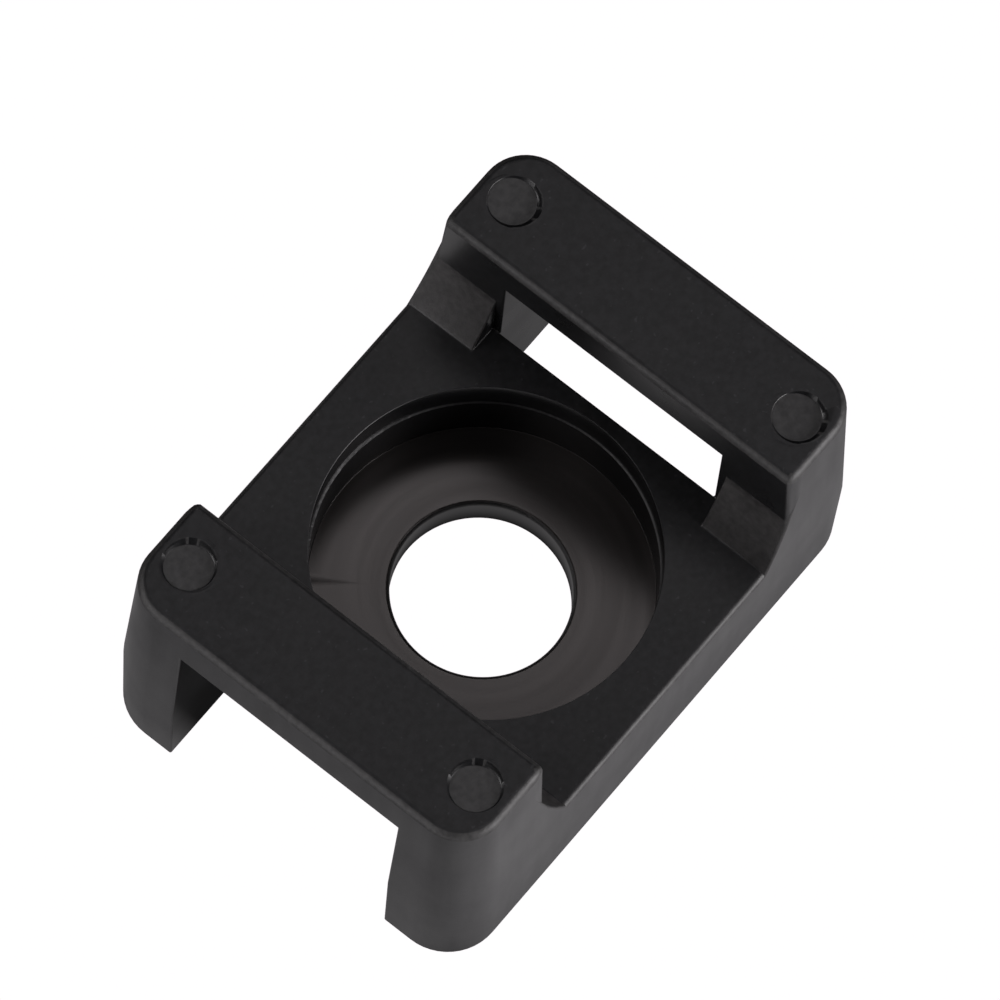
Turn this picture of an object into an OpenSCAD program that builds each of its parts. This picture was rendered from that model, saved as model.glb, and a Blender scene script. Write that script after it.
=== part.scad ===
// Cable tie mount: a one-piece nylon saddle that one screw holds to a wall or panel.
// The tie is threaded under the two raised bars and round the bundle that lies between them.
// Origin at the centre of the base. X runs along the mount, Y across it and Z up from the wall.

/* [Screw seat] */
// Diameter of the screw hole
screw_hole_d = 6.2; // [3:0.1:9]
// Width of the broken edge round the top of the screw hole
hole_edge_break = 0.15; // [0.05:0.05:0.4]
// Thickness of the floor that the screw head presses on
seat_thickness = 1.35; // [1:0.05:3]
// Diameter of the recess for the screw head
head_recess_d = 11.8; // [10.5:0.1:16]
// Depth of the recess for the screw head, below the deck
head_recess_depth = 3.45; // [2.5:0.05:6]
// Depth of the fine step in the recess wall, below the deck
recess_step_depth = 1.3; // [0.5:0.1:2]
// How far the recess widens above the fine step
recess_step = 0.06; // [0.02:0.01:0.2]

/* [Body] */
// Wall between the head recess and each end of the deck
recess_end_wall = 0.57; // [0.4:0.01:3]
// Wall between the head recess and each long side, at the parting line
recess_side_wall = 1.85; // [1:0.05:5]
// Radius of the four upright outer corners, at the parting line
corner_radius = 2; // [1.2:0.1:2.6]
// Height from the parting line up to the deck
parting_drop = 1.1; // [0.5:0.1:2]
// Draft of the outer walls above the parting line, in degrees
upper_draft = 3.1; // [0.5:0.1:5]
// Draft of the outer walls below the parting line, in degrees
lower_draft = 0.8; // [0.2:0.1:3]

/* [Tie bars] */
// Clear width of the tie's passage under each bar
passage_width = 9.2; // [5:0.1:10.5]
// Clear height from the deck to the underside of each bar
tie_gap = 3.7; // [2.5:0.1:6]
// Thickness of each bar
bar_thickness = 1.85; // [1.2:0.05:4]
// Width of each bar along the mount, at the parting line
bar_width = 4.43; // [3.5:0.01:8]
// Radius of the upright inner corners at the ends of each bar
bar_corner_radius = 0.6; // [0.2:0.1:1.2]

/* [Ramps] */
// How far each ramp reaches along the deck from its bar
ramp_run = 1.12; // [0.5:0.02:2.5]
// How high each ramp climbs above the deck
ramp_rise = 2.33; // [1:0.01:3.5]
// Depth of the shallow hollow along each ramp
ramp_hollow = 0.09; // [0.02:0.01:0.3]
// How far a ramp's inner side stands back from the passage wall under the bar
ramp_setback = 0.32; // [0.1:0.02:1]

/* [Rounded edges] */
// Radius of the edges round the top of each bar
top_edge_radius = 0.3; // [0.1:0.05:0.6]
// Radius of the two long edges of the deck
deck_edge_radius = 0.2; // [0.05:0.05:0.5]

/* [Ejector marks] */
// Diameter of the round marks that the mould's ejector pins leave on the bars
mark_d = 1.9; // [1:0.1:2.6]
// Depth of the ejector marks
mark_depth = 0.15; // [0.05:0.01:0.4]
// Gap from an ejector mark to the side wall at the top of the bar
mark_side_gap = 0.4; // [0.2:0.05:3]

/* [Hidden] */

// How far the cutting shapes run past the faces that they cut
over = 1;
// Angle between the facets of the small rounded edges, in degrees
edge_step = 15;
// Number of straight pieces along each ramp
ramp_steps = 8;
// Smoothness of the true round surfaces
$fn = 64;

deck_z = seat_thickness + head_recess_depth;
bar_underside_z = deck_z + tie_gap;
height = bar_underside_z + bar_thickness;
parting_z = deck_z - parting_drop;

// Half of the deck's length, half of the mount's length and half of its width
deck_half = head_recess_d / 2 + recess_end_wall;
half_length = deck_half + bar_width;
half_width = head_recess_d / 2 + recess_side_wall;

// Centre of each outer corner
corner_x = half_length - corner_radius;
corner_y = half_width - corner_radius;

// Foot and crest of a ramp, as [x, z]
ramp_foot = [deck_half - ramp_run, deck_z];
ramp_crest = [deck_half, deck_z + ramp_rise];

// How far the outer wall stands back from its widest line, at height z
function wall_inset(z) =
    z < parting_z
        ? (parting_z - z) * tan(lower_draft)
        : (z - parting_z) * tan(upper_draft);

// A quarter round as [how far it stands back from the wall, its height below the top]
function quarter_round(radius) =
    [for (a = [0 : edge_step : 90]) [radius * (1 - cos(a)), radius * (1 - sin(a))]];

// Outer wall from the base to the top face, as [distance from a corner's centre, z]
function wall_line() =
    let (shoulder = corner_radius - wall_inset(height - top_edge_radius))
    concat(
        [[corner_radius - wall_inset(0), 0], [corner_radius, parting_z]],
        [for (p = quarter_round(top_edge_radius)) [shoulder - p[0], height - p[1]]]
    );

// The same points on the other side of the Z axis, in reverse order
function mirrored(points) =
    [for (i = [len(points) - 1 : -1 : 0]) [-points[i][0], points[i][1]]];

// Closed section of the block whose corners' centres lie at +-centre
function block_section(centre) =
    let (side = [for (p = wall_line()) [centre + p[0], p[1]]])
    concat(side, mirrored(side));

// Point on a ramp's surface, with t from 0 at the foot to 1 at the crest
function ramp_point(t) =
    let (
        along = ramp_crest - ramp_foot,
        into_wall = [along[1], -along[0]] / norm(along)
    )
    ramp_foot + t * along + 4 * ramp_hollow * t * (1 - t) * into_wall;

// Section of the saddle between the bars, open at the top, from one line of [x, z] points
function saddle_section(half_line) =
    let (
        lip = [for (p = quarter_round(top_edge_radius)) [deck_half + p[0], height - p[1]]],
        side = concat(half_line, lip, [[deck_half + top_edge_radius, height + over]])
    )
    concat(side, mirrored(side));

// Draws a section that is given as [x, z] points and runs across the mount, along Y
module along_y(span) {
    rotate([90, 0, 0]) linear_extrude(height = span, center = true) children();
}

// Draws a section that is given as [y, z] points and runs along the mount, along X
module along_x(span) {
    rotate([90, 0, 90]) linear_extrude(height = span, center = true) children();
}

// Repeats its children at the four corners, each facing outwards
module four_corners() {
    for (mx = [0, 1], my = [0, 1]) mirror([mx, 0, 0]) mirror([0, my, 0]) children();
}

// Drafted block with rounded corners and a rounded top edge, before anything is cut from it
module blank() {
    along_x(2 * corner_x) polygon(block_section(corner_y));
    along_y(2 * corner_y) polygon(block_section(corner_x));
    four_corners()
        translate([corner_x, corner_y, 0])
            rotate_extrude() polygon(concat([[0, 0]], wall_line(), [[0, height]]));
}

// Trough between the bars, with a ramp up to the end of each bar
module saddle() {
    along_y(2 * (half_width + over))
        polygon(saddle_section([for (i = [0 : ramp_steps]) ramp_point(i / ramp_steps)]));
}

// Straight-sided part of the trough, between the ramps
module tie_slot() {
    along_y(passage_width + 2 * ramp_setback)
        polygon(saddle_section([[deck_half, deck_z]]));
}

// Passages under the bars, open at the ends and at the base
module tie_passages() {
    for (mx = [0, 1])
        mirror([mx, 0, 0])
            translate([deck_half, -passage_width / 2, -over])
                cube([bar_width + over, passage_width, bar_underside_z + over]);
}

// Screw hole with a broken top edge, and the stepped recess for the screw head
module screw_seat() {
    edge_z = seat_thickness - hole_edge_break;
    translate([0, 0, -over]) cylinder(d = screw_hole_d, h = seat_thickness + 2 * over);
    translate([0, 0, edge_z])
        cylinder(d1 = screw_hole_d, d2 = screw_hole_d + 4 * hole_edge_break, h = 2 * hole_edge_break);
    translate([0, 0, seat_thickness]) cylinder(d = head_recess_d, h = head_recess_depth + over);
    translate([0, 0, deck_z - recess_step_depth])
        cylinder(d = head_recess_d + 2 * recess_step, h = recess_step_depth + over);
}

// What is cut away to round one upright inner corner of a bar, following the draft of its side
module bar_corner_cut() {
    start_z = ramp_crest[1];
    translate([deck_half + bar_corner_radius, half_width - wall_inset(start_z), start_z])
        rotate([upper_draft, 0, 0])
            difference() {
                translate([-bar_corner_radius - over, -bar_corner_radius, 0])
                    cube([bar_corner_radius + over, bar_corner_radius + over, height]);
                translate([0, -bar_corner_radius, -over])
                    cylinder(r = bar_corner_radius, h = height + 2 * over);
            }
}

// What is cut away to round one long edge of the deck, between the feet of the ramps
module deck_edge_cut() {
    edge_y = half_width - wall_inset(deck_z - deck_edge_radius) - deck_edge_radius;
    translate([0, edge_y, deck_z - deck_edge_radius])
        along_x(2 * ramp_foot[0])
            difference() {
                square(deck_edge_radius + over);
                circle(r = deck_edge_radius);
            }
}

// Shallow round marks on top of the bars, two on each
module ejector_marks() {
    mark_x = (deck_half + half_length - wall_inset(height)) / 2;
    mark_y = half_width - wall_inset(height) - mark_side_gap - mark_d / 2;
    four_corners()
        translate([mark_x, mark_y, height - mark_depth]) cylinder(d = mark_d, h = mark_depth + over);
}

module tie_mount() {
    color([0.10, 0.10, 0.11])
        difference() {
            blank();
            saddle();
            tie_slot();
            tie_passages();
            screw_seat();
            four_corners() bar_corner_cut();
            for (my = [0, 1]) mirror([0, my, 0]) deck_edge_cut();
            ejector_marks();
        }
}

tie_mount();
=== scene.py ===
"""Visual model of a black nylon cable tie mount, in metres.

The one-piece moulding is dressed with finely rounded edges and with the finishes that its
mould leaves: a sparked texture outside, polished pin marks and a turned screw seat. Some
zones also carry painted light in their colour: paler rims and ramps stand in for highlights,
and darker inner faces, recess walls and the recess step stand in for shade.
"""

import logging
import math
from dataclasses import dataclass, field
from enum import Enum

import bmesh
import bpy
from mathutils import Matrix, Quaternion, Vector


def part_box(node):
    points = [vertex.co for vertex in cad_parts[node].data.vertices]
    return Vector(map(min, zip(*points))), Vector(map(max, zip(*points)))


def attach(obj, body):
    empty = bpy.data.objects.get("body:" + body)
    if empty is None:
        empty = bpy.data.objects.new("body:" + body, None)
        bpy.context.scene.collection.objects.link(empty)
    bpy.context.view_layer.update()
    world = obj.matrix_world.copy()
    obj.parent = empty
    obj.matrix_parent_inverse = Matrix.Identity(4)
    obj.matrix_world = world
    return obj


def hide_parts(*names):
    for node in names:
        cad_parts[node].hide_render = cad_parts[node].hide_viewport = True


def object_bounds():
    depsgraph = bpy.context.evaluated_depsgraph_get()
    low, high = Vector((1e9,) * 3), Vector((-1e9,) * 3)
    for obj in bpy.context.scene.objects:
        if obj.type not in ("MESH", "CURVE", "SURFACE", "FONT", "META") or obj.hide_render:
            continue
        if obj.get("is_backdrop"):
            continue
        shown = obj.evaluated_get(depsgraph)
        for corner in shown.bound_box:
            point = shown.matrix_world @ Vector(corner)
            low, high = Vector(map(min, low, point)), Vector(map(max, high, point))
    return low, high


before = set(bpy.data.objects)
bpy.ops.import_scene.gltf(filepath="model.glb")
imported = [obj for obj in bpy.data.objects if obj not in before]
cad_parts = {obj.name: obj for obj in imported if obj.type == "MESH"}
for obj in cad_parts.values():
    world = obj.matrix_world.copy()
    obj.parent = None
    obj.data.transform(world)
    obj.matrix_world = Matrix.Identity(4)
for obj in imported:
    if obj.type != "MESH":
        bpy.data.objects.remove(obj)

log = logging.getLogger("tie_mount")

Colour = tuple[float, float, float]
Place = tuple[float, float, float]
Range = tuple[float, float]
Outline = list[tuple[float, float]]
Socket = bpy.types.NodeSocket
Value = Socket | float | tuple[float, ...]

MM = 0.001
WARM_WHITE: Colour = (1.03, 1.0, 1.018)
NYLON_IOR = 1.5
# The values that a noise texture mostly stays between
NOISE_RANGE: Range = (0.3, 0.7)
# Points nearer to each other than this are one point, in millimetres
MERGE = 0.0005
# Places nearer to each other than this count as level or in line, in millimetres
NEAR = 0.01


class Zone(Enum):
    """A region of the moulding with its own finish; some regions also have painted light or shade
    in their colour.
    """

    SPARKED = 0
    WALL = 1
    RIM = 2
    RAMP = 3
    SMOOTH = 4
    PIN_MARK = 5
    TURNED = 6
    STEP = 7
    RECESS = 8


# ---------------------------------------------------------------- shared effects


@dataclass
class Wiring:
    """Short calls that add and join the nodes of one tree."""

    tree: bpy.types.NodeTree

    @property
    def given(self) -> bpy.types.NodeOutputs:
        """What a group is given, by name."""
        return self.tree.nodes["Group Input"].outputs

    @property
    def out(self) -> bpy.types.NodeInputs:
        """What a group puts out, by name."""
        return self.tree.nodes["Group Output"].inputs

    def add(self, kind: str, **settings: object) -> bpy.types.Node:
        """Adds a node.

        Args:
            kind: Type of the node.
            **settings: Properties that it is given.

        Returns:
            The node.
        """
        node = self.tree.nodes.new(kind)
        for name, value in settings.items():
            setattr(node, name, value)
        return node

    def put(self, socket: Socket, value: Value) -> None:
        """Links an input, or sets its value where it isn't given an output.

        Args:
            socket: The input.
            value: The output that it is linked to, or its value.
        """
        if isinstance(value, Socket):
            self.tree.links.new(value, socket)
        else:
            socket.default_value = value

    def math(self, operation: str, first: Value, second: Value = 0.0) -> Socket:
        """Adds a Math node.

        Args:
            operation: What it works out.
            first: Its first value.
            second: Its second value, where it needs one.

        Returns:
            Its result.
        """
        node = self.add("ShaderNodeMath", operation=operation)
        self.put(node.inputs[0], first)
        self.put(node.inputs[1], second)
        return node.outputs[0]

    def span(self, value: Socket, start: Range, end: Range) -> Socket:
        """Adds a clamped Map Range node.

        Args:
            value: The value that is mapped.
            start: The range that it is mapped from.
            end: The range that it is mapped to.

        Returns:
            Its result.
        """
        node = self.add("ShaderNodeMapRange", clamp=True)
        self.put(node.inputs["Value"], value)
        for name, (low, high) in (("From", start), ("To", end)):
            self.put(node.inputs[f"{name} Min"], low)
            self.put(node.inputs[f"{name} Max"], high)
        return node.outputs["Result"]

    def fade(self, length: Socket, edge: Range, ends: Range) -> Socket:
        """Turns a length in metres into a value that fades over an edge in millimetres."""
        return self.span(length, (edge[0] * MM, edge[1] * MM), ends)

    def swing(self, noise: Socket, middle: float, change: float) -> Socket:
        """Turns a noise into a value that goes up and down about its middle."""
        return self.span(noise, NOISE_RANGE, (middle - change, middle + change))

    def noise(self, place: Socket, scale: Value, detail: float = 2.0) -> Socket:
        """Adds a Noise texture.

        Args:
            place: The place that it is read at.
            scale: How many of its patches a unit of length holds.
            detail: How many finer layers it has.

        Returns:
            Its factor.
        """
        node = self.add("ShaderNodeTexNoise")
        self.put(node.inputs["Vector"], place)
        self.put(node.inputs["Scale"], scale)
        self.put(node.inputs["Detail"], detail)
        return node.outputs["Fac"]

    def object_place(self) -> Socket:
        """Gives the place on the object, in metres."""
        return self.add("ShaderNodeTexCoord").outputs["Object"]

    def level_place(self, place: Socket) -> tuple[Socket, Socket]:
        """Splits a place.

        Args:
            place: The place.

        Returns:
            Its X and its Y.
        """
        node = self.add("ShaderNodeSeparateXYZ")
        self.put(node.inputs[0], place)
        return node.outputs["X"], node.outputs["Y"]

    def length(self, first: Socket, second: Socket) -> Socket:
        """Gives the length of a line from its two sides at a right angle."""
        squares = [self.math("MULTIPLY", side, side) for side in (first, second)]
        return self.math("SQRT", self.math("ADD", *squares))

    def effect(self, group: bpy.types.NodeTree, inputs: dict[str, Value]) -> bpy.types.NodeOutputs:
        """Places a shared effect.

        Args:
            group: The effect's group.
            inputs: What its inputs are given, by name.

        Returns:
            Its outputs, by name.
        """
        node = self.add("ShaderNodeGroup", node_tree=group)
        for name, value in inputs.items():
            self.put(node.inputs[name], value)
        return node.outputs


def new_group(name: str, inputs: dict[str, float], outputs: list[str]) -> Wiring:
    """Makes an empty shader node group that has a place and numbers as its inputs.

    Args:
        name: Name of the group.
        inputs: Name and default of each number that it is given.
        outputs: Name of each number that it puts out.

    Returns:
        The wiring of the group, with its input and output nodes in place.
    """
    group = bpy.data.node_groups.new(name, "ShaderNodeTree")
    group.interface.new_socket("Place", in_out="INPUT", socket_type="NodeSocketVector")
    for label, value in inputs.items():
        made = group.interface.new_socket(label, in_out="INPUT", socket_type="NodeSocketFloat")
        made.default_value = value
    for label in outputs:
        group.interface.new_socket(label, in_out="OUTPUT", socket_type="NodeSocketFloat")
    group.nodes.new("NodeGroupInput")
    group.nodes.new("NodeGroupOutput")
    return Wiring(group)


@dataclass(frozen=True)
class MouldGrain:
    """The fine texture that the mould's steel leaves on the nylon.

    Lengths are in millimetres, and the scales are patches to a millimetre.
    """

    grain_size: float = 0.09
    fine_ratio: float = 2.7
    fine_share: float = 0.3
    mottle_scale: float = 4.2
    speck_scale: float = 6.5
    speck_edge: Range = (0.76, 0.84)
    drag_scale: float = 1.5
    drag_squash: float = 0.16
    cloud_scale: float = 0.32

    def build(self) -> bpy.types.NodeTree:
        """Makes the group.

        Returns:
            The group: its Height is 0 to 1, Mottle is a blotchy change of tone, Speck marks the
            few pale grains, Drag is a streak along the way that the part left the mould, and
            Cloud is a slow variation over several millimetres.
        """
        outputs = ["Height", "Mottle", "Speck", "Drag", "Cloud"]
        nodes = new_group("mould grain", {"Grain size": self.grain_size}, outputs)
        place = nodes.given["Place"]
        scale = nodes.math("DIVIDE", 1 / MM, nodes.given["Grain size"])
        fine_scale = nodes.math("MULTIPLY", scale, self.fine_ratio)
        coarse = nodes.math("MULTIPLY", nodes.noise(place, scale, 1.0), 1 - self.fine_share)
        fine = nodes.math("MULTIPLY", nodes.noise(place, fine_scale, 1.0), self.fine_share)
        nodes.put(nodes.out["Height"], nodes.math("ADD", coarse, fine))
        nodes.put(nodes.out["Mottle"], nodes.noise(place, self.mottle_scale / MM))
        specks = nodes.noise(place, self.speck_scale / MM, 0.0)
        nodes.put(nodes.out["Speck"], nodes.span(specks, self.speck_edge, (0.0, 1.0)))
        drawn = nodes.add("ShaderNodeVectorMath", operation="MULTIPLY")
        nodes.put(drawn.inputs[0], place)
        nodes.put(drawn.inputs[1], (1.0, 1.0, self.drag_squash))
        nodes.put(nodes.out["Drag"], nodes.noise(drawn.outputs[0], self.drag_scale / MM, 3.0))
        nodes.put(nodes.out["Cloud"], nodes.noise(place, self.cloud_scale / MM))
        return nodes.tree


@dataclass(frozen=True)
class PinBurr:
    """The thin broken lip that stands beside each ejector mark, on its inner side.

    It lies on a ring with its middle a little inwards of the mark's own. Lengths are in
    millimetres.
    """

    along: float = 8.4
    across: float = 6.04
    radius: float = 1.0
    width: float = 0.06
    patch_scale: float = 0.9
    patch_edge: Range = (0.42, 0.75)

    def build(self) -> bpy.types.NodeTree:
        """Makes the group.

        Returns:
            The group: its Height is 0 to 1 on the lip, which comes and goes along its ring.
        """
        inputs = {"Along": self.along, "Across": self.across, "Radius": self.radius}
        nodes = new_group("pin burr", inputs, ["Height"])
        place = nodes.given["Place"]
        sides = []
        for part, middle in zip(nodes.level_place(place), ("Along", "Across")):
            reach = nodes.math("MULTIPLY", nodes.math("ABSOLUTE", part), 1 / MM)
            sides.append(nodes.math("SUBTRACT", reach, nodes.given[middle]))
        off = nodes.math("SUBTRACT", nodes.length(*sides), nodes.given["Radius"])
        lip = nodes.span(nodes.math("ABSOLUTE", off), (0.0, self.width), (1.0, 0.0))
        patches = nodes.noise(place, self.patch_scale / MM)
        broken = nodes.span(patches, self.patch_edge, (0.0, 1.0))
        nodes.put(nodes.out["Height"], nodes.math("MULTIPLY", lip, broken))
        return nodes.tree


@dataclass(frozen=True)
class TurnedRings:
    """The faint rings that a lathe leaves about the Z axis."""

    pitch: float = 0.1
    wander: float = 0.25
    streak_scale: float = 2.4

    def build(self) -> bpy.types.NodeTree:
        """Makes the group.

        Returns:
            The group: its Height is 0 to 1, and Streak is a slow change from ring to ring and
            round the axis.
        """
        nodes = new_group("turned rings", {"Pitch": self.pitch}, ["Height", "Streak"])
        x, y = nodes.level_place(nodes.given["Place"])
        turn = nodes.math("ARCTAN2", y, x)
        ring = nodes.add("ShaderNodeCombineXYZ")
        nodes.put(ring.inputs["X"], nodes.math("MULTIPLY", nodes.length(x, y), 1 / MM))
        for axis, wave in (("Y", "COSINE"), ("Z", "SINE")):
            part = nodes.math("MULTIPLY", nodes.math(wave, turn), self.wander)
            nodes.put(ring.inputs[axis], part)
        scale = nodes.math("DIVIDE", 1.0, nodes.given["Pitch"])
        nodes.put(nodes.out["Height"], nodes.noise(ring.outputs[0], scale))
        nodes.put(nodes.out["Streak"], nodes.noise(ring.outputs[0], self.streak_scale))
        return nodes.tree


@dataclass(frozen=True)
class Effects:
    """The shader groups that the finishes are made with."""

    grain: bpy.types.NodeTree
    burr: bpy.types.NodeTree
    rings: bpy.types.NodeTree


# ---------------------------------------------------------------- finishes


def empty_nodes(owner: bpy.types.Material | bpy.types.World) -> Wiring:
    """Empties the node tree of a material or a world.

    Args:
        owner: The material or world.

    Returns:
        The wiring of its tree.
    """
    owner.use_nodes = True
    owner.node_tree.nodes.clear()
    return Wiring(owner.node_tree)


def start_material(name: str) -> tuple[bpy.types.Material, Wiring, bpy.types.Node]:
    """Makes an empty material with a Principled shader on its output.

    Args:
        name: Name of the material.

    Returns:
        The material, the wiring of its tree and its shader node.
    """
    material = bpy.data.materials.new(name)
    nodes = empty_nodes(material)
    shader = nodes.add("ShaderNodeBsdfPrincipled")
    nodes.put(shader.inputs["IOR"], NYLON_IOR)
    out = nodes.add("ShaderNodeOutputMaterial")
    nodes.put(out.inputs["Surface"], shader.outputs["BSDF"])
    return material, nodes, shader


def tint(nodes: Wiring, shader: bpy.types.Node, colour: Colour, tone: Socket) -> None:
    """Gives the shader a colour that is made darker and lighter by a tone.

    Args:
        nodes: Wiring of the material's tree.
        shader: The Principled shader.
        colour: The middle colour.
        tone: What the colour is multiplied by.
    """
    toned = nodes.add("ShaderNodeVectorMath", operation="SCALE")
    nodes.put(toned.inputs[0], colour)
    nodes.put(toned.inputs["Scale"], tone)
    nodes.put(shader.inputs["Base Color"], toned.outputs[0])


def add_bump(nodes: Wiring, shader: bpy.types.Node, height: Socket) -> None:
    """Makes the shader's surface rise and fall.

    Args:
        nodes: Wiring of the material's tree.
        shader: The Principled shader.
        height: How far the surface rises, in millimetres.
    """
    bump = nodes.add("ShaderNodeBump")
    nodes.put(bump.inputs["Strength"], 1.0)
    nodes.put(bump.inputs["Distance"], MM)
    nodes.put(bump.inputs["Height"], height)
    nodes.put(shader.inputs["Normal"], bump.outputs["Normal"])


@dataclass(frozen=True)
class MouldedNylon:
    """Black nylon as one region of the mould leaves it, some regions with painted light or shade
    in their colour. Grain lengths are in millimetres.
    """

    name: str
    colour: Colour = (0.0125, 0.0125, 0.0135)
    roughness: float = 0.47
    rough_change: float = 0.05
    grain_size: float = 0.09
    grain_depth: float = 0.002
    mottle: float = 0.3
    cloud: float = 0.2
    speck: float = 0.0
    drag: float = 0.0
    drag_edge: Range = (0.35, 0.65)
    drag_polish: float = 0.1
    burr_depth: float = 0.0

    def build(self, effects: Effects) -> bpy.types.Material:
        """Makes the material.

        Args:
            effects: The shared effects.

        Returns:
            The finished material.
        """
        material, nodes, shader = start_material(self.name)
        place = nodes.object_place()
        grain = nodes.effect(effects.grain, {"Place": place, "Grain size": self.grain_size})
        mottle = nodes.swing(grain["Mottle"], 1.0, self.mottle)
        tone = nodes.math("MULTIPLY", mottle, nodes.swing(grain["Cloud"], 1.0, self.cloud))
        tone = nodes.math("ADD", tone, nodes.math("MULTIPLY", grain["Speck"], self.speck))
        drag = nodes.span(grain["Drag"], self.drag_edge, (-self.drag, self.drag))
        tint(nodes, shader, self.colour, nodes.math("ADD", tone, drag))
        rough = nodes.swing(grain["Cloud"], self.roughness, self.rough_change)
        polish = nodes.math("MULTIPLY", drag, self.drag_polish)
        nodes.put(shader.inputs["Roughness"], nodes.math("SUBTRACT", rough, polish))
        height = nodes.math("MULTIPLY", grain["Height"], self.grain_depth)
        if self.burr_depth > 0.0:
            burr = nodes.effect(effects.burr, {"Place": place})
            burr_height = nodes.math("MULTIPLY", burr["Height"], self.burr_depth)
            height = nodes.math("ADD", height, burr_height)
        add_bump(nodes, shader, height)
        return material


@dataclass(frozen=True)
class TurnedNylon:
    """Black nylon of the screw seat, satin with faint turned rings. Lengths are in millimetres."""

    name: str = "turned_black_nylon"
    colour: Colour = (0.036, 0.0325, 0.0315)
    tone_change: float = 0.15
    sheen: Colour = (1.0, 0.945, 0.93)
    ior: float = 1.54
    roughness: float = 0.25
    rough_change: float = 0.02
    pitch: float = 0.16
    ring_depth: float = 0.0002

    def build(self, effects: Effects) -> bpy.types.Material:
        """Makes the material.

        Args:
            effects: The shared effects.

        Returns:
            The finished material.
        """
        material, nodes, shader = start_material(self.name)
        nodes.put(shader.inputs["Specular Tint"], (*self.sheen, 1.0))
        nodes.put(shader.inputs["IOR"], self.ior)
        place = nodes.object_place()
        rings = nodes.effect(effects.rings, {"Place": place, "Pitch": self.pitch})
        tint(nodes, shader, self.colour, nodes.swing(rings["Streak"], 1.0, self.tone_change))
        rough = nodes.swing(rings["Streak"], self.roughness, self.rough_change)
        nodes.put(shader.inputs["Roughness"], rough)
        add_bump(nodes, shader, nodes.math("MULTIPLY", rings["Height"], self.ring_depth))
        return material


FINISHES: dict[Zone, MouldedNylon | TurnedNylon] = {
    Zone.SPARKED: MouldedNylon("sparked_nylon", speck=1.2, burr_depth=0.015),
    Zone.WALL: MouldedNylon(
        "drawn_nylon",
        roughness=0.42,
        grain_depth=0.0008,
        mottle=0.15,
        drag=0.12,
    ),
    # Rims and the hole's edge: the paler colour is a painted highlight along the rounded edges;
    # the coarse grain bump is real.
    Zone.RIM: MouldedNylon(
        "edge_highlight_nylon",
        colour=(0.028, 0.0275, 0.0275),
        roughness=0.55,
        grain_size=0.2,
        grain_depth=0.018,
    ),
    # Ramps: the paler colour paints in light that the lamps don't give them.
    Zone.RAMP: MouldedNylon(
        "ramp_lit_nylon",
        colour=(0.032, 0.0305, 0.0305),
        grain_size=0.12,
        grain_depth=0.008,
    ),
    # Inner, downward and hollow faces: the darker colour is painted shade; the lower roughness is
    # their smoother finish.
    Zone.SMOOTH: MouldedNylon(
        "smooth_shaded_nylon",
        colour=(0.007, 0.0072, 0.0078),
        roughness=0.3,
        grain_size=0.3,
    ),
    Zone.PIN_MARK: MouldedNylon(
        "pin_marked_nylon",
        colour=(0.031, 0.0305, 0.031),
        roughness=0.36,
        grain_size=0.16,
    ),
    Zone.TURNED: TurnedNylon(),
    # The step in the recess wall: the dark colour is painted shade; the coarse grain bump breaks
    # its glints.
    Zone.STEP: MouldedNylon(
        "step_shade_nylon",
        colour=(0.006, 0.006, 0.0065),
        roughness=0.45,
        grain_size=0.22,
        grain_depth=0.03,
    ),
    # The recess wall: the near-black colour is painted shade.
    Zone.RECESS: MouldedNylon(
        "recess_shade_nylon",
        colour=(0.004, 0.0042, 0.0046),
        roughness=0.2,
        grain_size=0.3,
        grain_depth=0.001,
    ),
}


# ---------------------------------------------------------------- the moulding


def turned(line: Outline, facets: int) -> bmesh.types.BMesh:
    """Turns a line of (radius, height) points about the Z axis into a closed shape.

    Args:
        line: Points of the outline, from the axis at the bottom to the axis at the top.
        facets: Number of facets round the axis.

    Returns:
        The closed shape.
    """
    shape = bmesh.new()
    points = [shape.verts.new((r, 0.0, z)) for r, z in line]
    edges = [shape.edges.new(pair) for pair in zip(points, points[1:])]
    bmesh.ops.spin(
        shape,
        geom=points + edges,
        cent=(0.0, 0.0, 0.0),
        axis=(0.0, 0.0, 1.0),
        angle=math.tau,
        steps=facets,
        use_merge=True,
    )
    bmesh.ops.remove_doubles(shape, verts=shape.verts, dist=MERGE)
    bmesh.ops.recalc_face_normals(shape, faces=shape.faces)
    return shape


def block(low: Place, high: Place) -> bmesh.types.BMesh:
    """Makes a plain block.

    Args:
        low: Its corner with the least X, Y and Z.
        high: Its corner with the greatest X, Y and Z.

    Returns:
        The closed shape.
    """
    shape = bmesh.new()
    bmesh.ops.create_cube(shape, size=1.0)
    for vert in shape.verts:
        vert.co = [less if c < 0.0 else more for c, less, more in zip(vert.co, low, high)]
    return shape


def arc(centre: tuple[float, float], radius: float, angles: Range, steps: int) -> Outline:
    """Gives the points of an arc.

    Args:
        centre: Centre of the arc.
        radius: Radius of the arc.
        angles: The angles that it starts and ends at, in degrees.
        steps: Number of straight pieces that it is made of.

    Returns:
        The points, with both ends.
    """
    start, end = angles
    turns = [math.radians(start + (end - start) * i / steps) for i in range(steps + 1)]
    return [(centre[0] + radius * math.cos(a), centre[1] + radius * math.sin(a)) for a in turns]


def new_object(name: str, shape: bmesh.types.BMesh) -> bpy.types.Object:
    """Puts a shape into a new object at the origin and frees the shape.

    Args:
        name: Name of the object.
        shape: The shape.

    Returns:
        The object.
    """
    mesh = bpy.data.meshes.new(name)
    shape.to_mesh(mesh)
    shape.free()
    made = bpy.data.objects.new(name, mesh)
    bpy.context.scene.collection.objects.link(made)
    return made


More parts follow.
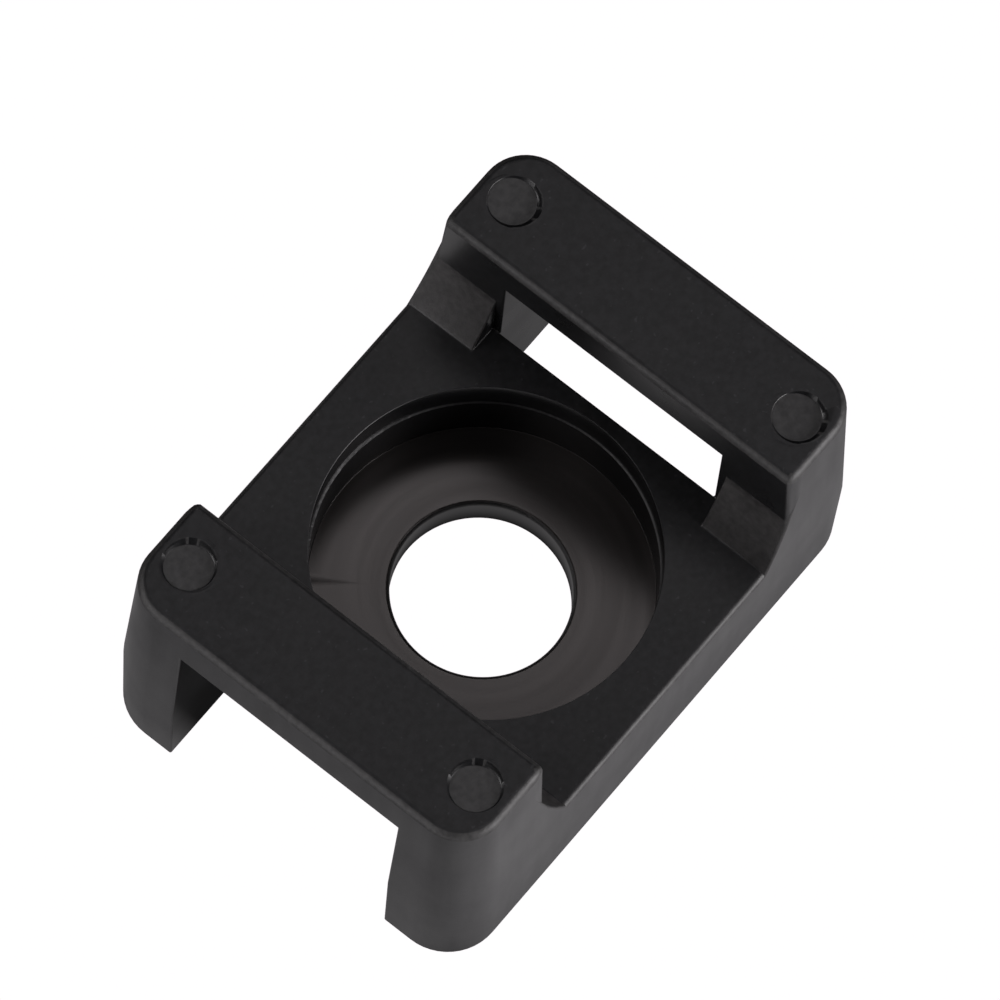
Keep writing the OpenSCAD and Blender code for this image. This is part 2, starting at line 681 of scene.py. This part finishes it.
def settle(piece: bpy.types.Object) -> None:
    """Makes what a piece's modifiers give its own mesh, and removes them.

    Args:
        piece: The piece.
    """
    ready = piece.evaluated_get(bpy.context.evaluated_depsgraph_get())
    mesh = bpy.data.meshes.new_from_object(ready)
    piece.modifiers.clear()
    old = piece.data
    piece.data = mesh
    bpy.data.meshes.remove(old)
    mesh.name = piece.name


def carve(piece: bpy.types.Object, tools: list[bmesh.types.BMesh]) -> None:
    """Cuts the shapes of these tools out of a piece, one after another.

    Args:
        piece: The piece that is cut.
        tools: Closed shapes, which are freed.
    """
    cutters = [new_object(f"{piece.name}_tool", tool) for tool in tools]
    for cutter in cutters:
        cut = piece.modifiers.new("cut", "BOOLEAN")
        cut.operation = "DIFFERENCE"
        cut.solver = "EXACT"
        cut.object = cutter
    settle(piece)
    for cutter in cutters:
        bpy.data.meshes.remove(cutter.data)


@dataclass(frozen=True)
class EjectorPin:
    """One of the mould's ejector pins.

    Its corner is given by the signs of X and Y, and its lean line is the level line that it is
    turned about to stand out of true.
    """

    corner: tuple[int, int]
    lean_line: tuple[float, float]


@dataclass(frozen=True)
class ZoneLimits:
    """Where one zone of the moulding ends and the next one begins.

    A tilt is the upward part of a face's normal, from 0 on an upright face to 1 on a level one.
    Lengths are in millimetres.
    """

    upper_tilt: float = 0.5
    mark_floor_tilt: float = 0.95
    hole_edge_tilt: Range = (0.1, 0.95)
    wall_tilt: float = 0.15
    rim_tilt: float = 0.97
    ramp_tilt: Range = (0.2, 0.8)
    mark_reach: float = 0.5
    seat_margin: float = 0.1
    seat_floor_z: float = 1.0
    step_reach: float = 0.03
    outer_reach: float = 0.8


@dataclass
class Moulding:
    """The one-piece nylon body, with the finely rounded edges of a moulded part.

    Lengths are in millimetres and angles in degrees. The overall size is that of the plain
    solid, whose base is centred on the origin.
    """

    node: str = "tie_mount"
    name: str = "moulding"
    slot: str = "black_nylon"
    half_length: float = field(init=False)
    half_width: float = field(init=False)
    height: float = field(init=False)
    deck_z: float = 4.8
    parting_z: float = 3.7
    upper_draft: float = 3.1
    lower_draft: float = 0.8
    corner_radius: float = 2.0
    corner_steps: int = 12
    deck_half: float = 6.47
    ramp_run: float = 1.12
    ramp_rise: float = 2.33
    ramp_hollow: float = 0.09
    ramp_setback: float = 0.32
    ramp_steps: int = 8
    passage_half: float = 4.6
    bar_underside_z: float = 8.5
    seat_z: float = 1.35
    hole_radius: float = 3.1
    hole_edge_break: float = 0.15
    seat_radius: float = 5.9
    seat_facets: int = 128
    step_z: float = 3.5
    step: float = 0.06
    step_slope: float = 0.02
    pins: tuple[EjectorPin, ...] = (
        EjectorPin((1, 1), (1.0, 0.2)),
        EjectorPin((1, -1), (1.0, 0.3)),
        EjectorPin((-1, 1), (-0.6, 1.0)),
        EjectorPin((-1, -1), (-0.6, 1.0)),
    )
    mark_radius: float = 0.95
    mark_depth: float = 0.085
    mark_gap: float = 0.4
    mark_tilt: float = 4.8
    mark_facets: int = 64
    rim_round: float = 0.3
    deck_round: float = 0.2
    bar_corner_round: float = 0.6
    fine_round: float = 0.07
    tight_round: float = 0.03
    hollow_round: float = 0.05
    round_steps: int = 4
    tight_steps: int = 2
    over: float = 1.0
    flat_angle: float = 0.1
    sharp_angle: float = 20.0
    crease_angle: float = 40.0
    shading_weight: int = 90
    turned_margin: float = 0.3
    side_margin: float = 1.0
    long_edge: float = 1.0
    limits: ZoneLimits = ZoneLimits()

    def __post_init__(self) -> None:
        """Takes the overall size from the plain solid."""
        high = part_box(self.node)[1]
        self.half_length = high.x / MM
        self.half_width = high.y / MM
        self.height = high.z / MM

    def build(self, zones: dict[Zone, bpy.types.Material]) -> bpy.types.Object:
        """Makes the piece in place of the plain solid.

        Args:
            zones: The material of each zone.

        Returns:
            The finished piece.
        """
        piece = new_object(self.name, self._blank())
        carve(piece, [self._saddle(), self._slot(), *self._passages(), self._screw_tool()])
        self._round_edges(piece)
        carve(piece, self._pin_tools())
        self._dress(piece, zones)
        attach(piece, "root")
        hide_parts(self.node)
        return piece

    def _round_edges(self, piece: bpy.types.Object) -> None:
        """Rounds each sharp edge by the radius that it is weighed with.

        Args:
            piece: The piece, without its ejector marks.
        """
        self._weigh_edges(piece)
        rounded = piece.modifiers.new("rounded edges", "BEVEL")
        rounded.limit_method = "WEIGHT"
        rounded.width = self.bar_corner_round
        rounded.segments = self.round_steps
        rounded.use_clamp_overlap = False
        rounded.miter_outer = "MITER_SHARP"
        settle(piece)

    def _dress(self, piece: bpy.types.Object, zones: dict[Zone, bpy.types.Material]) -> None:
        """Gives each face its finish and brings the piece to metres.

        Args:
            piece: The piece, in millimetres.
            zones: The material of each zone.
        """
        mesh = piece.data
        mesh.materials.clear()
        for zone in Zone:
            mesh.materials.append(zones[zone])
        shape = bmesh.new()
        shape.from_mesh(mesh)
        bmesh.ops.remove_doubles(shape, verts=shape.verts, dist=MERGE)
        for face in shape.faces:
            face.material_index = self._zone(face).value
        bmesh.ops.scale(shape, vec=(MM, MM, MM), verts=shape.verts)
        shape.to_mesh(mesh)
        shape.free()
        mesh.shade_smooth()
        mesh.set_sharp_from_angle(angle=math.radians(self.crease_angle))
        even = piece.modifiers.new("even shading", "WEIGHTED_NORMAL")
        even.keep_sharp = True
        even.weight = self.shading_weight

    def _inset(self, z: float) -> float:
        """Says how far the outer wall stands back from its widest line.

        Args:
            z: The height that it is asked for.

        Returns:
            The distance, which is 0 at the parting line.
        """
        if z < self.parting_z:
            return (self.parting_z - z) * math.tan(math.radians(self.lower_draft))
        return (z - self.parting_z) * math.tan(math.radians(self.upper_draft))

    def _blank(self) -> bmesh.types.BMesh:
        """Makes the drafted block with its rounded upright corners.

        Returns:
            The block, before anything is cut from it.
        """
        long, wide, high = self.half_length, self.half_width, self.height
        shape = block((-long, -wide, 0.0), (long, wide, high))
        upright = [e for e in shape.edges if abs(e.verts[0].co.z - e.verts[1].co.z) > high / 2]
        bmesh.ops.bevel(
            shape,
            geom=upright,
            offset=self.corner_radius,
            offset_type="OFFSET",
            segments=self.corner_steps,
            profile=0.5,
            affect="EDGES",
            clamp_overlap=False,
            material=-1,
        )
        bmesh.ops.bisect_plane(
            shape,
            geom=shape.verts[:] + shape.edges[:] + shape.faces[:],
            plane_co=(0.0, 0.0, self.parting_z),
            plane_no=(0.0, 0.0, 1.0),
        )
        for vert in shape.verts:
            x = math.copysign(long - self.corner_radius, vert.co.x)
            y = math.copysign(wide - self.corner_radius, vert.co.y)
            post = Vector((x, y))
            out = (vert.co.xy - post) * (1.0 - self._inset(vert.co.z) / self.corner_radius)
            vert.co.xy = post + out
        return shape

    def _ramp_line(self) -> Outline:
        """Gives the section of the ramp at the +X end.

        Returns:
            Its (x, z) points, from its foot to its crest.
        """
        foot = Vector((self.deck_half - self.ramp_run, self.deck_z))
        along = Vector((self.ramp_run, self.ramp_rise))
        into = Vector((along.y, -along.x)).normalized()
        parts = [i / self.ramp_steps for i in range(self.ramp_steps + 1)]
        return [tuple(foot + t * along + 4 * self.ramp_hollow * t * (1 - t) * into) for t in parts]

    def _saddle(self) -> bmesh.types.BMesh:
        """Makes the shape of the trough between the bars, with a ramp at each end.

        Returns:
            The closed shape.
        """
        half = [*self._ramp_line(), (self.deck_half, self.height + self.over)]
        line = half + [(-x, z) for x, z in reversed(half)]
        reach = self.half_width + self.over
        shape = bmesh.new()
        points = [shape.verts.new((x, -reach, z)) for x, z in line]
        side = bmesh.ops.contextual_create(shape, geom=points)
        grown = bmesh.ops.extrude_face_region(shape, geom=side["faces"])
        moved = [v for v in grown["geom"] if isinstance(v, bmesh.types.BMVert)]
        bmesh.ops.translate(shape, vec=(0.0, 2 * reach, 0.0), verts=moved)
        bmesh.ops.recalc_face_normals(shape, faces=shape.faces)
        return shape

    def _slot(self) -> bmesh.types.BMesh:
        """Makes the shape of the straight-sided part of the trough, between the ramps."""
        long, wide = self.deck_half, self.passage_half + self.ramp_setback
        return block((-long, -wide, self.deck_z), (long, wide, self.height + self.over))

    def _passages(self) -> list[bmesh.types.BMesh]:
        """Makes the shapes of the tie's passages under the two bars.

        Returns:
            The closed shapes, at +X and at -X.
        """
        near, far = self.deck_half, self.half_length + self.over
        wide, top = self.passage_half, self.bar_underside_z
        ends = ((near, far), (-far, -near))
        return [block((start, -wide, -self.over), (end, wide, top)) for start, end in ends]

    def _screw_tool(self) -> bmesh.types.BMesh:
        """Makes the shape of the screw hole and its stepped recess, with their broken edges.

        Returns:
            The closed shape.
        """
        hole, seat, upper = self.hole_radius, self.seat_radius, self.seat_radius + self.step
        edge, fine, tight = self.hole_edge_break, self.fine_round, self.tight_round
        top = self.deck_z + self.over
        line = [
            (0.0, -self.over),
            (hole + 2 * fine, -self.over),
            (hole + 2 * fine, -fine),
            (hole, fine),
            *arc((hole + edge, self.seat_z - edge), edge, (180.0, 90.0), self.round_steps),
            (seat - 2 * tight, self.seat_z),
            *arc((seat - tight, self.seat_z + tight), tight, (-90.0, 0.0), self.tight_steps),
            (seat, self.step_z - self.step_slope),
            (upper, self.step_z + self.step_slope),
            *arc((upper + tight, self.deck_z - tight), tight, (180.0, 110.0), self.tight_steps),
            (upper + tight, self.deck_z + self.step_slope),
            (upper + tight, top),
            (0.0, top),
        ]
        return turned(line, self.seat_facets)

    def _mark_place(self) -> Vector:
        """Finds the middle of the ejector mark at +X and +Y.

        Returns:
            The place, level with the top of the bar.
        """
        inset = self._inset(self.height)
        x = (self.deck_half + self.half_length - inset) / 2
        y = self.half_width - inset - self.mark_gap - self.mark_radius
        return Vector((x, y, self.height))

    def _pin_tools(self) -> list[bmesh.types.BMesh]:
        """Makes the shapes of the shallow ejector marks, each pin a little out of true.

        Returns:
            The closed shape of each pin's end.
        """
        deep, fine, place = self.mark_depth, self.tight_round, self._mark_place()
        flat = self.mark_radius - deep
        line = [
            (0.0, -deep),
            (flat - 2 * fine, -deep),
            *arc((flat - fine, fine - deep), fine, (-90.0, -45.0), self.tight_steps),
            (flat + 2 * deep, deep),
            (flat + 2 * deep, self.over),
            (0.0, self.over),
        ]
        tools = []
        for pin in self.pins:
            tool = turned(line, self.mark_facets)
            axis = Vector((*pin.lean_line, 0.0)).normalized()
            lean = Matrix.Rotation(math.radians(self.mark_tilt), 3, axis)
            bmesh.ops.rotate(tool, matrix=lean, verts=tool.verts)
            middle = (pin.corner[0] * place.x, pin.corner[1] * place.y, place.z)
            bmesh.ops.translate(tool, vec=middle, verts=tool.verts)
            tools.append(tool)
        return tools

    def _weigh_edges(self, piece: bpy.types.Object) -> None:
        """Weighs each sharp edge by the radius that the mould gives it.

        Args:
            piece: The piece, whose turned faces have their own edges already.
        """
        shape = bmesh.new()
        shape.from_mesh(piece.data)
        bmesh.ops.remove_doubles(shape, verts=shape.verts, dist=MERGE)
        bmesh.ops.dissolve_limit(
            shape,
            angle_limit=math.radians(self.flat_angle),
            verts=shape.verts,
            edges=shape.edges,
            use_dissolve_boundaries=False,
            delimit=set(),
        )
        weights = shape.edges.layers.float.new("bevel_weight_edge")
        for edge in shape.edges:
            from_axis = min(vert.co.xy.length for vert in edge.verts)
            is_turned = from_axis < self.seat_radius + self.turned_margin
            is_sharp = edge.calc_face_angle(0.0) > math.radians(self.sharp_angle)
            if is_sharp and not is_turned:
                edge[weights] = self._radius(edge) / self.bar_corner_round
        shape.to_mesh(piece.data)
        shape.free()

    def _radius(self, edge: bmesh.types.BMEdge) -> float:
        """Finds the radius of a sharp edge from its place.

        Args:
            edge: The edge.

        Returns:
            The radius that the mould gives it.
        """
        start, end = (vert.co for vert in edge.verts)
        if not edge.is_convex:
            return self.hollow_round
        if min(start.z, end.z) > self.height - NEAR:
            return self.rim_round
        outer = min(abs(start.y), abs(end.y)) > self.passage_half + self.side_margin
        on_deck = max(abs(start.z - self.deck_z), abs(end.z - self.deck_z)) < NEAR
        if outer and on_deck and abs(start.x - end.x) > self.long_edge:
            return self.deck_round
        upright = abs(start.x - end.x) < NEAR and abs(start.z - end.z) > self.long_edge
        if outer and upright and abs(abs(start.x) - self.deck_half) < NEAR:
            return self.bar_corner_round
        return self.fine_round

    def _zone(self, face: bmesh.types.BMFace) -> Zone:
        """Finds the zone of a face from its place and direction.

        Args:
            face: The face, in millimetres.

        Returns:
            Its zone.
        """
        middle, up, limits = face.calc_center_median(), face.normal.z, self.limits
        mark = self._mark_place()
        from_mark = math.hypot(abs(middle.x) - mark.x, abs(middle.y) - mark.y)
        sunk = mark.z - limits.mark_reach < middle.z < mark.z - NEAR
        if from_mark < self.mark_radius and sunk:
            return Zone.PIN_MARK if up > limits.mark_floor_tilt else Zone.SMOOTH
        inside = middle.xy.length < self.seat_radius + limits.seat_margin
        if inside and middle.z < self.deck_z - limits.seat_margin:
            return self._seat_zone(middle, up)
        at_end = abs(middle.x) > self.half_length - limits.outer_reach
        outside = at_end or abs(middle.y) > self.half_width - limits.outer_reach
        if outside and abs(up) < limits.wall_tilt:
            return Zone.WALL
        at_top = middle.z > self.height - self.rim_round
        if abs(up) < limits.rim_tilt and (outside or at_top):
            return Zone.RIM
        gentle, steep = limits.ramp_tilt
        if gentle < up < steep and self.deck_z < middle.z < self.deck_z + self.ramp_rise:
            return Zone.RAMP
        return Zone.SPARKED if up > limits.upper_tilt else Zone.SMOOTH

    def _seat_zone(self, middle: Vector, up: float) -> Zone:
        """Finds the zone of a face of the screw hole or its recess.

        Args:
            middle: Middle of the face.
            up: Upward part of its normal.

        Returns:
            Its zone.
        """
        limits = self.limits
        steep, level = limits.hole_edge_tilt
        if steep < up < level and middle.z < self.seat_z:
            return Zone.RIM
        if abs(middle.z - self.step_z) < limits.step_reach:
            return Zone.STEP
        faces_up = up > limits.upper_tilt
        if middle.xy.length > self.seat_radius - limits.seat_margin and not faces_up:
            return Zone.RECESS
        return Zone.TURNED if faces_up and middle.z > limits.seat_floor_z else Zone.SMOOTH


# ---------------------------------------------------------------- the studio


def direction(azimuth: float, elevation: float) -> Vector:
    """Gives the direction out to this azimuth and elevation, which are in degrees."""
    a, e = math.radians(azimuth), math.radians(elevation)
    return Vector((math.sin(a) * math.cos(e), -math.cos(a) * math.cos(e), math.sin(e)))


def area_lamp(name: str, width: float, height: float, radiance: float) -> bpy.types.Object:
    """Makes a flat, oblong lamp at the origin.

    Args:
        name: Name of the lamp.
        width: Its first side, in millimetres.
        height: Its second side, in millimetres.
        radiance: How bright its face is.

    Returns:
        The lamp's object.
    """
    lamp = bpy.data.lights.new(name, "AREA")
    lamp.shape = "RECTANGLE"
    lamp.size = width * MM
    lamp.size_y = height * MM
    lamp.energy = radiance * math.pi * lamp.size * lamp.size_y
    lamp.color = WARM_WHITE
    made = bpy.data.objects.new(name, lamp)
    bpy.context.scene.collection.objects.link(made)
    return made


@dataclass(frozen=True)
class SoftBox:
    """One soft studio lamp. Lengths are in millimetres and angles in degrees."""

    name: str
    azimuth: float
    elevation: float
    width: float
    height: float
    radiance: float
    distance: float = 420.0

    def build(self, aim: Vector) -> None:
        """Makes the lamp.

        Args:
            aim: The point that it faces, in metres.
        """
        back = direction(self.azimuth, self.elevation)
        lamp = area_lamp(self.name, self.width, self.height, self.radiance)
        lamp.location = aim + back * self.distance * MM
        lamp.rotation_mode = "QUATERNION"
        lamp.rotation_quaternion = (-back).to_track_quat("-Z", "Y")


@dataclass(frozen=True)
class BounceCard:
    """One glowing patch of the floor close to the part. Lengths are in millimetres."""

    name: str
    place: tuple[float, float]
    size: tuple[float, float]
    radiance: float
    lift: float = 0.1

    def build(self) -> None:
        """Makes the card, facing up and out of the camera's sight."""
        card = area_lamp(self.name, *self.size, self.radiance)
        card.location = (self.place[0] * MM, self.place[1] * MM, self.lift * MM)
        card.rotation_euler = (math.pi, 0.0, 0.0)
        card.visible_camera = False


@dataclass(frozen=True)
class Floor:
    """The plain pale floor, lit evenly from behind as a light table is.

    It is seen as white all over. Its glows are what it lights the part with: in the open, under
    the part, in the screw hole and at the end that faces the window. Far from the part, only a
    share of the glow is left. Lengths are in millimetres.
    """

    hole_radius: float
    hole_glow: float = 0.45
    hole_core: float = 0.8
    side: float = 600.0
    drop: float = 0.02
    open_glow: float = 0.4
    shade_glow: float = 0.03
    shade_edge: Range = (-1.6, 0.1)
    window_glow: float = 0.19
    window_edge: Range = (6.0, 7.0)
    near_edge: Range = (15.0, 24.0)
    far_share: float = 0.08

    def build(self) -> None:
        """Makes the floor, a hair below the part."""
        material = self._material()
        shape = bmesh.new()
        bmesh.ops.create_grid(shape, x_segments=1, y_segments=1, size=self.side * MM / 2)
        bmesh.ops.translate(shape, verts=shape.verts, vec=(0.0, 0.0, -self.drop * MM))
        floor = new_object("floor", shape)
        floor.data.materials.append(material)
        floor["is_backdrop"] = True

    def _material(self) -> bpy.types.Material:
        """Makes a white that is seen at full brightness and lights the part more softly.

        Returns:
            The finished material.
        """
        material = bpy.data.materials.new("pale_floor")
        nodes = empty_nodes(material)
        shader = nodes.add("ShaderNodeEmission")
        nodes.put(shader.inputs["Color"], (*WARM_WHITE, 1.0))
        seen = nodes.add("ShaderNodeLightPath").outputs["Is Camera Ray"]
        nodes.put(shader.inputs["Strength"], nodes.math("MAXIMUM", self._glow(nodes), seen))
        out = nodes.add("ShaderNodeOutputMaterial")
        nodes.put(out.inputs["Surface"], shader.outputs[0])
        return material

    def _glow(self, nodes: Wiring) -> Socket:
        """Works out how brightly each place of the floor lights the part.

        The part keeps the light off what lies under it, apart from the end that faces the
        window.

        Args:
            nodes: Wiring of the floor's material.

        Returns:
            The glow.
        """
        x, y = nodes.level_place(nodes.object_place())
        beyond = [
            nodes.math("SUBTRACT", nodes.math("ABSOLUTE", part), half)
            for part, half in zip((x, y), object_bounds()[1])
        ]
        outside = nodes.math("MAXIMUM", *beyond)
        shaded = nodes.fade(outside, self.shade_edge, (self.shade_glow, self.open_glow))
        window = nodes.fade(x, self.window_edge, (0.0, self.window_glow))
        radius = nodes.length(x, y)
        share = nodes.fade(radius, self.near_edge, (1.0, self.far_share))
        around = nodes.math("MULTIPLY", nodes.math("MAXIMUM", shaded, window), share)
        hole_edge = (self.hole_core * self.hole_radius, self.hole_radius)
        in_hole = nodes.fade(radius, hole_edge, (self.hole_glow, 0.0))
        return nodes.math("ADD", around, in_hole)


@dataclass(frozen=True)
class Camera:
    """The camera. Lengths are in millimetres and angles in degrees."""

    azimuth: float = -58.08
    elevation: float = 68.29
    roll: float = 7.37
    distance: float = 390.35
    aim: Place = (1.634, 0.748, 5.175)
    lens: float = 420.5
    sensor: float = 36.0
    clip: Range = (10.0, 10000.0)

    def build(self) -> None:
        """Makes the camera and makes it the scene's own."""
        camera = bpy.data.cameras.new("camera")
        camera.sensor_width = self.sensor
        camera.lens = self.lens
        camera.clip_start = self.clip[0] * MM
        camera.clip_end = self.clip[1] * MM
        back = direction(self.azimuth, self.elevation)
        roll = Quaternion((0.0, 0.0, 1.0), math.radians(self.roll))
        eye = bpy.data.objects.new("camera", camera)
        eye.location = Vector(self.aim) * MM + back * self.distance * MM
        eye.rotation_mode = "QUATERNION"
        eye.rotation_quaternion = (-back).to_track_quat("-Z", "Y") @ roll
        bpy.context.scene.collection.objects.link(eye)
        bpy.context.scene.camera = eye


@dataclass(frozen=True)
class Studio:
    """The floor, the room, the soft lights and the camera. Lengths are in millimetres."""

    floor: Floor
    camera: Camera = Camera()
    aim: Place = (0.0, 0.0, 5.0)
    boxes: tuple[SoftBox, ...] = (
        SoftBox("key_window", 122.0, 63.0, 95.0, 95.0, 1.8),
        SoftBox("back_window", 122.0, 67.0, 270.0, 95.0, 0.55, distance=425.0),
        SoftBox("over_right", 28.0, 58.0, 130.0, 120.0, 1.7),
        SoftBox("over_front", 262.0, 73.0, 120.0, 120.0, 0.7),
        SoftBox("right_low", 15.0, 12.0, 250.0, 120.0, 23.0),
        SoftBox("front_low", 258.0, 18.0, 120.0, 110.0, 5.0),
        SoftBox("front_mid", 258.0, 40.0, 130.0, 120.0, 1.2),
        SoftBox("left_low", 235.0, 18.0, 120.0, 110.0, 10.0),
        SoftBox("left_mid", 210.0, 30.0, 150.0, 120.0, 4.5),
    )
    cards: tuple[BounceCard, ...] = (
        BounceCard("right_card", (0.0, -14.0), (40.0, 10.0), 0.2),
        BounceCard("far_right_card", (0.0, -34.0), (90.0, 30.0), 0.65),
        BounceCard("front_card", (-170.0, 0.0), (240.0, 100.0), 3.2),
    )

    def build(self) -> None:
        """Makes the whole studio."""
        self.floor.build()
        self._room()
        for box in self.boxes:
            box.build(Vector(self.aim) * MM)
        for card in self.cards:
            card.build()
        self.camera.build()
        settings = bpy.context.scene.view_settings
        settings.view_transform = "Standard"
        settings.look = "None"

    def _room(self) -> None:
        """Makes the white room that is seen past the floor and sheds no light on the part."""
        world = bpy.data.worlds.new("room")
        bpy.context.scene.world = world
        nodes = empty_nodes(world)
        seen = nodes.add("ShaderNodeLightPath").outputs["Is Camera Ray"]
        shader = nodes.add("ShaderNodeBackground")
        nodes.put(shader.inputs["Strength"], seen)
        out = nodes.add("ShaderNodeOutputWorld")
        nodes.put(out.inputs["Surface"], shader.outputs[0])


def main() -> None:
    """Builds the moulding and the studio, and reports each piece."""
    logging.basicConfig(level=logging.INFO, format="%(message)s")
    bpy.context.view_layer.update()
    effects = Effects(MouldGrain().build(), PinBurr().build(), TurnedRings().build())
    zones = {zone: finish.build(effects) for zone, finish in FINISHES.items()}
    moulding = Moulding()
    piece = moulding.build(zones)
    log.info("%s: %d faces", piece.name, len(piece.data.polygons))
    Studio(Floor(moulding.hole_radius)).build()
    log.info("studio: floor, room, soft boxes, cards and camera")


if __name__ == "__main__":
    main()
